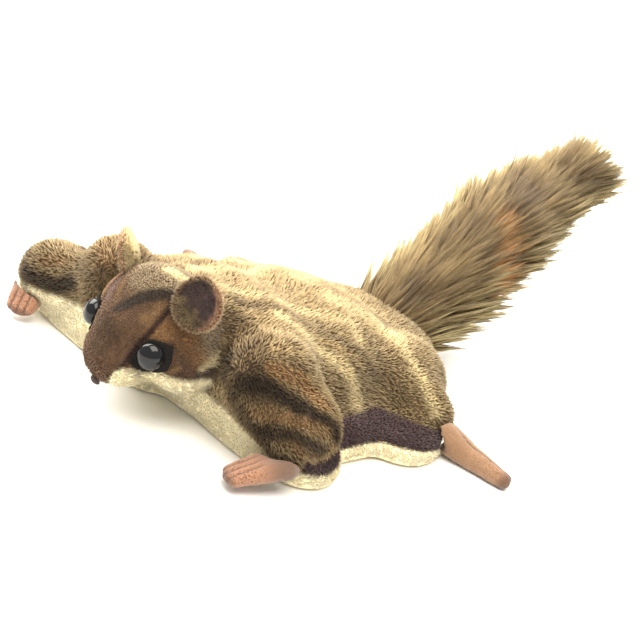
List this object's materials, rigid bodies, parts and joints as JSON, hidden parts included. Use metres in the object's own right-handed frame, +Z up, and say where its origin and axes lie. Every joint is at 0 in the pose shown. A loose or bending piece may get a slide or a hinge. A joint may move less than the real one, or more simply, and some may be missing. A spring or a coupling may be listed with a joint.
{
  "type": "plush toy flying squirrel",
  "caption": "Stuffed plush flying squirrel toy lying on its belly with limbs spread, a gliding membrane along each flank and a raised long-pile tail.",
  "frame": {"origin": "on the floor plane, on the flat of the belly under the middle of the back", "axes": "+Z up, the toy faces -Y, its left side is +X and its tail runs back along +Y"},
  "size_m": [0.2484, 0.3497, 0.1072],
  "materials": {
    "brown_plush": "short grizzled brown and straw pile with darker bands",
    "cream_plush": "short warm cream pile",
    "plum_plush": "short dark plum-brown pile",
    "ear_plush": "brown pile outside, dark plum-brown lining with a pale rim",
    "pink_suede": "pink-tan suede cloth with dark specks and stitched toes",
    "black_felt": "flat black felt",
    "glossy_eye": "polished black plastic dome",
    "tail_pile": "long tan and brown pile with pale tips"
  },
  "bodies": {
    "root": {"belly": "cream_plush", "ear_left": "ear_plush", "ear_right": "ear_plush", "eye_left": "glossy_eye", "eye_patch_left": "black_felt", "eye_patch_right": "black_felt", "eye_right": "glossy_eye", "foreleg_left": "brown_plush", "foreleg_right": "brown_plush", "forepaw_left": "pink_suede", "forepaw_right": "pink_suede", "head": "brown_plush", "hindfoot_left": "pink_suede", "hindfoot_right": "pink_suede", "hindleg_left": "brown_plush", "hindleg_right": "brown_plush", "jaw": "cream_plush", "membrane_left": "plum_plush", "membrane_right": "plum_plush", "nose": "plum_plush", "tail": "tail_pile", "torso": "brown_plush"}
  },
  "joints": []
}
